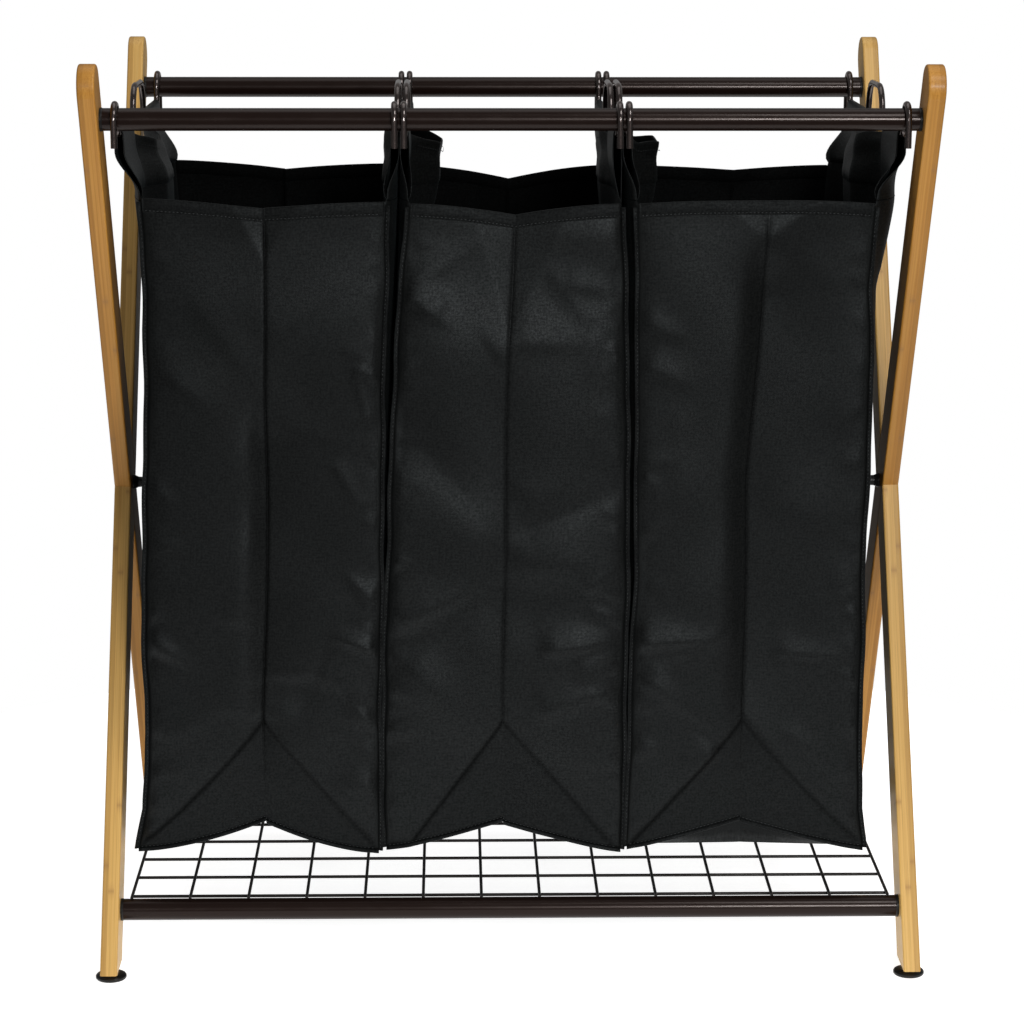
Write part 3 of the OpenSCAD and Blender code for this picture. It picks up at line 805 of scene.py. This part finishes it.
def front_and_back(bag):
    v, t = np.meshgrid(front_columns(), np.linspace(0, 1, ROWS + 1))
    return bag.panel("front", v, t), bag.panel("back", v, t)


def flat_of(across, grid):
    """Where a grid of points lies on the flat cloth: across it, and at its own height."""
    return vectors(across, grid[..., 2], 0.0, 0 * grid[..., 2])


def bag_shell(bag, front, back):
    """The lofted cloth shell: four walls, the base and both sides' sleeves, as one skin."""
    cloth = Cloth()
    t = np.linspace(0, 1, ROWS + 1)[:, None]
    v = front_columns()[None, :]
    u = (v + 1.0) / 2
    width = bag.walls[1] - bag.walls[0]
    for wall, start in ((front, 0.0), (back, WALL_STEP)):
        # The walls carry painted shade along their pressed folds and crease.
        ids = cloth.add(wall, flat_of(u * width + start, wall), bag.pressed(v, wall[..., 2]))
        cloth.skin(ids, flip=wall is back)

    ys = side_ys(bag)[None, :]
    share = (ys - ys[0, 0]) / (ys[0, -1] - ys[0, 0])
    bottoms = []
    for side, s in enumerate(OUTWARD):
        a, b = front[:, -side], back[:, -side]
        sag = 5.0 * np.sin(share * pi) * (1.0 - t) ** 8
        z = lerp(a[:, None, 2], b[:, None, 2], share) - sag
        y = lerp(a[:, None, 1], b[:, None, 1], share)
        x = bag.side_x(side, y, z) - s * bag.lean(side, y, z)
        # The outermost columns are the front and back panels' own edges.
        x[:, 0], x[:, -1] = a[:, 0], b[:, 0]
        z[:, 0], z[:, -1] = a[:, 2], b[:, 2]
        grid = np.stack([x, y, z], -1)
        ids = cloth.add(grid, flat_of(ys + SIDE_AT + WALL_STEP * side, grid))
        cloth.skin(ids, flip=side == 0, slot=2)
        bottoms.append(grid[0])
        bag_sleeve(cloth, bag, side, grid[-1])

    # Base: a patch between the four bottom edges, arched along its middle crease.
    left, right = (edge[:, None, :] for edge in bottoms)
    near, far = front[0][None], back[0][None]
    w = np.linspace(0, 1, ys.shape[1])[:, None]
    across, along = u[..., None], w[..., None]
    corners = lerp(lerp(near[:, :1], near[:, -1:], across), lerp(far[:, :1], far[:, -1:], across),
                   along)
    patch = lerp(near, far, along) + lerp(left, right, across) - corners
    fold = np.sin(w * pi)
    flatten = lerp(1.0, bag.spec["base_arch"] / bag.spec["hump"],
                   smooth(fold / bag.spec["arch_run"]))
    mid_z = lerp(*bag.spec["base_z"], u)
    level = mid_z + (patch[..., 2] - mid_z) * flatten
    middle = fold * np.sin(u * pi)
    patch[..., 2] = level - 6.0 * middle + 1.2 * np.sin(w * 19.0 + u * 9.0) * middle
    ids = cloth.add(patch, patch * (1.0, 1.0, 0.0))
    cloth.skin(ids, flip=True)
    return cloth


def bag_sleeve(cloth, bag, side, rim_row):
    """The doubled cloth above the rim: up, round the wire, and down to the casing seam."""
    s = OUTWARD[side]
    n1, n2, n3 = SIDE_COLUMNS
    ys = rim_row[:, 1]
    flat_x = side_ys(bag)[None, :] + SIDE_AT
    seam_z, run_z = np.full_like(ys, CASING_Z), np.full_like(ys, bag.run_z)
    reach = np.abs(side_ys(bag))
    in_gap = smooth((GAP_HALF + 14.0 - reach) / 14.0)
    low_top = bag.spec["gap_z"][side]
    level = lerp(low_top, GAP_END_Z, smooth((reach - 44.0) / 16.0))
    gap_top = lerp(level, lerp(GAP_END_Z, low_top - 3.0, bag.flop(ys)), bag.spec["slant"][side])
    gap_top = gap_top + 1.5 * np.sin(ys / 9.0 + bag.seed) * smooth((58.0 - reach) / 20.0)

    def y_at(z):
        """A sleeve's ends are drawn in a little towards the top."""
        up = smooth((z - bag.rim) / (bag.run_z - bag.rim))
        return ys - np.sign(ys) * 2.5 * up * smooth((reach - 140.0) / 20.0)

    def layer(z_row, inset):
        """A row of the sleeve, this far inside its outer layer."""
        y = y_at(z_row)
        x = bag.side_x(side, y, z_row)
        held = lerp(1.0, smooth((bag.run_z - 2.0 - z_row) / 14.0), smooth((reach - 30.0) / 30.0))
        x = x - s * bag.lean(side, y, z_row) * held
        return np.stack([x - s * inset, y, z_row], -1)

    def inset_at(z_row):
        """Gap between the two layers: wide round the wire, closed at the casing seam."""
        up = np.clip((z_row - CASING_Z) / (bag.run_z - CASING_Z), 0.0, 1.0)
        wide = 1.2 + (2.0 * SLEEVE_R - 1.2) * up + 3.2 * np.sin(up * pi)
        flat = 1.2 + 1.0 * up
        near = np.exp(-((z_row - CASING_Z) / 9.0) ** 2)
        pucker = 0.8 * np.sin(ys / 5.5 + bag.seed) * near
        return lerp(wide, flat, in_gap) + np.abs(pucker)

    def add(rows, columns=slice(None), start=0.0, slot=0):
        grid = np.stack(rows)
        ids = cloth.add(grid, flat_of(flat_x[:, columns] + start, grid))
        cloth.skin(ids, flip=side == 0, slot=slot)

    # The outer layer, from the rim up to the top of the hand gap, and the inner layer, from
    # there down to the casing seam.
    outer = [rim_row] + [layer(lerp(rim_row[:, 2], gap_top, k), 0.0)
                         for k in np.linspace(0, 1, 15)[1:]]
    add(outer, start=WALL_STEP * side, slot=2)
    inner = []
    for k in np.linspace(0, 1, 13)[:-1]:
        z_row = lerp(gap_top, seam_z, k)
        inner.append(layer(z_row, inset_at(z_row)))
    inner.append(layer(seam_z, 0.35))
    add(inner, start=WALL_STEP * side)

    # Round the wire, for the two sleeves.
    for columns in (slice(0, n1 + 1), slice(n1 + n2, n1 + n2 + n3 + 1)):
        loop = [outer[-1][columns]]
        for k in np.linspace(0, 1, 6)[1:]:
            loop.append(layer(lerp(gap_top, run_z, k), 0.0)[columns])
        y = y_at(run_z)[columns]
        for angle in np.linspace(0.0, pi, 10)[1:]:
            x = bag.wires[side] + s * SLEEVE_R * math.cos(angle)
            loop.append(vectors(x, y, bag.run_z + SLEEVE_R * math.sin(angle), 0 * y))
        for k in np.linspace(1.0, 0.0, 6)[1:-1]:
            z_row = lerp(gap_top, run_z, k)
            loop.append(layer(z_row, inset_at(z_row))[columns])
        add([*loop, inner[0][columns]], columns)

    # The folded edge along the bottom of the hand gap.
    columns = slice(n1, n1 + n2 + 1)
    a, b = outer[-1][columns], inner[0][columns]
    middle, half = (a + b) / 2, (a - b) / 2
    fold = []
    for angle in np.linspace(0.0, pi, 5):
        point = middle + half * math.cos(angle)
        point[:, 2] += np.linalg.norm(half, axis=1) * math.sin(angle)
        fold.append(point)
    add(fold, columns)
    bag.casing[side] = (inner[-1], inner[0])


def sweep(points, across, depth):
    """A flat band along points. across and depth are vectors per point, half sizes in mm."""
    bevel = 0.72
    corners = ((1, bevel), (bevel, 1), (-bevel, 1), (-1, bevel), (-1, -bevel), (-bevel, -1),
               (bevel, -1), (1, -bevel))
    ring = np.stack([points + across * a + depth * d for a, d in corners], 1)
    n, m = ring.shape[:2]
    ids = np.arange(n * m).reshape(n, m)
    turned = np.roll(ids, -1, axis=1)
    quads = np.stack([ids[:-1], turned[:-1], turned[1:], ids[1:]], -1).reshape(-1, 4)
    faces = quads.tolist() + [ids[0, ::-1].tolist(), ids[-1].tolist()]
    return ring.reshape(-1, 3), faces


def joined(parts):
    """Several (points, faces) as one."""
    points, faces, start = [], [], 0
    for p, f in parts:
        points.append(p)
        faces.extend([[v + start for v in face] for face in f])
        start += len(p)
    return np.concatenate(points), faces


def stitch_row(path, out):
    """Short spindle stitches along a path. out is the way that they stand off the cloth."""
    steps = np.linalg.norm(np.diff(path, axis=0), axis=1)
    run = np.concatenate([[0.0], np.cumsum(steps)])

    def read(rows, d):
        return np.array([np.interp(d, run, rows[:, k]) for k in range(3)])

    parts = []
    at = STITCH_PITCH
    while at < run[-1] - STITCH_PITCH:
        start, middle, end = (read(path, at + d) for d in (-STITCH_L / 2, 0.0, STITCH_L / 2))
        normal = unit(read(out, at))
        sideways = np.cross(unit(end - start), normal)
        ring = [middle + STITCH_R * (math.cos(q) * normal + math.sin(q) * sideways)
                for q in np.linspace(0, 2 * pi, 6)[:-1]]
        points = np.array([start - 0.15 * normal, *ring, end - 0.15 * normal])
        faces = [[0, 1 + (j + 1) % 5, 1 + j] for j in range(5)]
        faces += [[6, 1 + j, 1 + (j + 1) % 5] for j in range(5)]
        parts.append((points, faces))
        at += STITCH_PITCH
    return parts


def hem_band(bag, face):
    """The folded hem along the rim of the front or back panel, and its stitches."""
    out = -1.0 if face == "front" else 1.0
    v = np.linspace(-0.99, 0.99, 120)
    v = (np.sign(v) * np.abs(v) ** 1.2)[None, :]
    height = bag.rim - 100.0
    rows, flats = [], []
    # The band's section, round from its outside: how far below the rim, and how proud.
    profile = [(HEM_H, 0.35), (HEM_H - 0.5, 0.75), (HEM_H * 0.5, 0.9), (1.0, 0.8), (0.2, 0.5),
               (-0.35, -0.1), (-0.35, -0.8), (0.3, -1.4), (1.2, -1.7), (HEM_H * 0.5, -1.8),
               (HEM_H - 0.6, -1.7), (HEM_H, -1.2)]
    for down, proud in profile:
        t = np.full_like(v, 1.0 - down / (height - 3.0))
        row = bag.panel(face, v, t)[0]
        ripple = 0.18 * np.sin(row[:, 0] / 6.5 + bag.seed) * (down > HEM_H * 0.4)
        row[:, 1] += out * (proud + ripple * np.sign(proud))
        rows.append(row)
        flats.append(vectors(row[:, 0] + 0.6, 40.0 + down + 4 * (proud < 0), 0.0, 0 * row[:, 0]))
    grid = np.stack(rows + [rows[0]])
    flat = np.stack(flats + [flats[0]])
    cloth = Cloth()
    ids = cloth.add(grid, flat)
    cloth.skin(ids, flip=face == "front")
    for end in (0, -1):          # caps
        loop = ids[:-1, end].tolist()
        cloth.faces.append(loop if (end == 0) == (face == "front") else loop[::-1])
    path = lerp(rows[1], rows[2], 0.25)
    path[:, 1] += out * 0.12
    return cloth, stitch_row(path, vectors(0.0, out, 0.0, 0 * path[:, 0]))


def bag_seams(bag, front, back):
    """Seam flanges down the four corners and round the base, as swept bands."""
    parts, stitches = [], []
    for grid, out in ((front, -1.0), (back, 1.0)):
        for side, s in enumerate(OUTWARD):
            points = grid[::3, -side]
            z = points[:, 2]
            sway = 0.25 * np.sin(z / 11.0 + side + bag.seed)
            way = unit(vectors(s * 0.93, out * (0.32 + sway), 0.0, 0 * z))
            depth = np.stack([-way[:, 1], way[:, 0], 0 * z], -1) * FLANGE_HALF_T
            parts.append(sweep(points + way * FLANGE_W / 2, way * FLANGE_W / 2, depth))
            normal = vectors(0.0, out, 0.0, 0 * z)
            stitches += stitch_row(points + way * 1.3 + normal * FLANGE_HALF_T, normal)
        row = grid[0]
        x = row[:, 0]
        sway = 0.2 * np.sin(x / 13.0 + bag.seed)
        way = unit(vectors(0.0, out * (0.55 + sway), -0.8, 0 * x))
        depth = np.stack([0 * x, way[:, 2], -way[:, 1]], -1) * FLANGE_HALF_T
        parts.append(sweep(row + way * FLANGE_W * 0.4, way * FLANGE_W * 0.4, depth))
        normal = vectors(0.0, out, 0.3, 0 * x)
        stitches += stitch_row(row + normal + np.array([0, 0, 1.4]), normal)
    return parts, stitches


def sew_on(obj, body, material):
    """Gives a piece of trim its material, body and slot."""
    obj.data.materials.append(material)
    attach(obj, body)


def make_bag(name, cloth, lining, side_lining, trim, sewing):
    """A bag's pieces: the shell, its two hems, its seams and its stitches."""
    bag = Bag(name)
    body = f"bag_{name}"
    front, back = front_and_back(bag)
    shell = bag_shell(bag, front, back).build(f"{body}_shell")
    # Outside and inside of the front, back and base, and then of the sides.
    for material in (cloth, lining, cloth, side_lining):
        shell.data.materials.append(material)
    thicken(shell)
    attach(shell, body)
    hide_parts(f"{body}_panels", f"{body}_sleeves")

    stitches, hems = [], []
    for face, material in (("front", trim), ("back", lining)):
        band, sewn = hem_band(bag, face)
        hem = band.build(f"{body}_hem_{face}", merge=0.001)
        sew_on(hem, body, material)
        hems.append(hem)
        stitches += sewn
    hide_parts(f"{body}_hems")

    parts, sewn = bag_seams(bag, front, back)
    stitches += sewn
    points, faces = joined(parts)
    seams = new_mesh(f"{body}_seams", points, faces)
    set_weave(seams, points[:, [0, 2, 1]])
    sew_on(seams, body, trim)
    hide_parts(f"{body}_binding")

    gap = slice(SIDE_COLUMNS[0] + 1, SIDE_COLUMNS[0] + SIDE_COLUMNS[1])
    for side, s in enumerate(OUTWARD):
        seam, edge = bag.casing[side]
        normal = vectors(-s, 0.0, 0.0, 0 * seam[:, 0])
        for lift in (2.0, 7.0):
            stitches += stitch_row(seam + normal * 0.4 + np.array([0, 0, lift]), normal)
        stitches += stitch_row(edge[gap] + np.array([-s * 0.5, 0, -7.0]), normal[gap])
    sewn = new_mesh(f"{body}_stitches", *joined(stitches))
    sew_on(sewn, body, sewing)


# ---- camera, light and floor

def make_camera():
    data = bpy.data.cameras.new("camera")
    data.lens = CAMERA_LENS
    data.sensor_width = 36.0
    data.clip_end = 50.0
    camera = new_object("camera", data)
    rotation = (Matrix.Rotation(CAMERA_YAW, 4, "Z")
                @ Matrix.Rotation(pi / 2 - CAMERA_DOWN, 4, "X")
                @ Matrix.Rotation(CAMERA_ROLL, 4, "Z"))
    camera.matrix_world = Matrix.Translation(Vector(CAMERA_AT) * MM) @ rotation
    bpy.context.scene.camera = camera


def area_light(name, at, size, power):
    data = bpy.data.lights.new(name, "AREA")
    data.shape = "RECTANGLE"
    data.size, data.size_y = size
    data.energy = power
    light = new_object(name, data)
    light.location = at
    light.rotation_euler = (Vector(LIGHT_TARGET) - Vector(at)).to_track_quat("-Z", "Y").to_euler()


def floor_paint():
    """White paint with a faint glow that grows towards the edge, to meet the white room."""
    m = Nodes("floor_paint")
    at = m.place()
    grain = m.noise(at, 60.0, detail=3)
    m.colour(m.ramp(grain, (0.3, 0.80), (0.7, 0.84)))
    m.rough(grain, (0.3, 0.8), (0.7, 0.9))
    away = m.add("ShaderNodeVectorMath", operation="LENGTH")
    m.link(at, away.inputs[0])
    far = m.add("ShaderNodeMapRange", interpolation_type="SMOOTHSTEP")
    m.link(away.outputs["Value"], far.inputs["Value"])
    for key, pair in (("From", FLOOR_GLOW_AT), ("To", FLOOR_GLOW)):
        far.inputs[f"{key} Min"].default_value, far.inputs[f"{key} Max"].default_value = pair
    m.link(far.outputs["Result"], m.shader.inputs["Emission Strength"])
    m.set(Emission_Color=(1.0, 1.0, 1.0, 1.0), Specular_IOR_Level=0.0)
    return m.material


def make_studio():
    turn = np.linspace(0.0, 2 * pi, 97)[:-1]
    edge = FLOOR_RADIUS * np.stack([np.cos(turn), np.sin(turn), 0 * turn], -1)
    floor = new_mesh("floor", edge, [list(range(len(edge)))], shade_smooth=False)
    floor.data.materials.append(floor_paint())
    world = bpy.data.worlds.new("studio")
    world.use_nodes = True
    bpy.context.scene.world = world
    tree = world.node_tree
    background = tree.nodes["Background"]
    background.inputs["Color"].default_value = (1.0, 1.0, 1.0, 1.0)
    path = tree.nodes.new("ShaderNodeLightPath")
    strength = tree.nodes.new("ShaderNodeMapRange")
    strength.inputs["To Min"].default_value = ROOM_LIGHT
    strength.inputs["To Max"].default_value = 1.0
    tree.links.new(path.outputs["Is Camera Ray"], strength.inputs["Value"])
    tree.links.new(strength.outputs["Result"], background.inputs["Strength"])
    for lamp in LIGHTS:
        area_light(*lamp)
    view = bpy.context.scene.view_settings
    view.view_transform, view.look = "Standard", "None"


make_camera()
make_studio()
paint_frame()
cloth = oxford("oxford_cloth", (0.0020, 0.0021, 0.0020), (0.0054, 0.0056, 0.0053))
lining = oxford("oxford_lining", (0.0008, 0.0008, 0.0008), (0.0019, 0.0019, 0.0019), rough=0.70,
                shine=0.04)
side_lining = oxford("oxford_side_lining", (0.0020, 0.0021, 0.0021), (0.0056, 0.0058, 0.0057),
                     rough=0.50, shine=0.17)
trim = oxford("oxford_trim", (0.0022, 0.0023, 0.0023), (0.0058, 0.0060, 0.0058), rough=0.56,
              shine=0.13)
sewing = thread("sewing_thread")
for bag_name in BAGS:
    make_bag(bag_name, cloth, lining, side_lining, trim, sewing)
